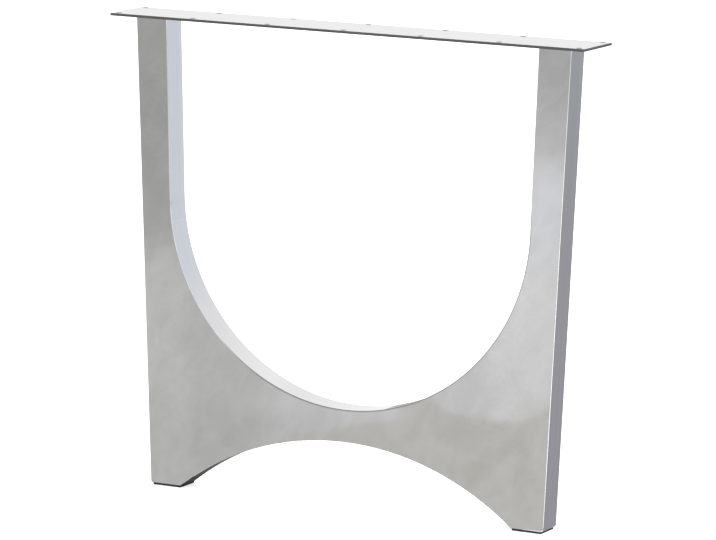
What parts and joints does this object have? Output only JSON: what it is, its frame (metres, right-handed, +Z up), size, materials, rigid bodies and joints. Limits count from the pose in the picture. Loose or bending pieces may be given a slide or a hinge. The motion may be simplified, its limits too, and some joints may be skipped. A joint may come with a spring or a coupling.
{
  "type": "u shaped table leg",
  "caption": "Wide U shaped table leg in polished hollow section, with a foot at each side, a low arch between them, a flat bolt-on plate on top and thin pads underneath.",
  "frame": {"origin": "on the floor under the pads, midway between the feet and midway through the depth of the frame", "axes": "+X along the mounting plate, from the left post to the right one as seen from the front; +Y towards the rear; +Z up, towards the table top"},
  "size_m": [0.785, 0.095, 0.72],
  "materials": {
    "frame_chrome": "polished and plated, with soft cloudy reflections",
    "plate_steel": "flat bar, satin faces with darker cut edges",
    "pad_rubber": "matt black"
  },
  "bodies": {
    "root": {"mounting_plate": "plate_steel", "front_face": "frame_chrome", "rear_face": "frame_chrome", "inner_band": "frame_chrome", "arch_band": "frame_chrome", "side_strip_left": "frame_chrome", "side_strip_right": "frame_chrome", "pad_left": "pad_rubber", "pad_right": "pad_rubber"}
  },
  "joints": []
}
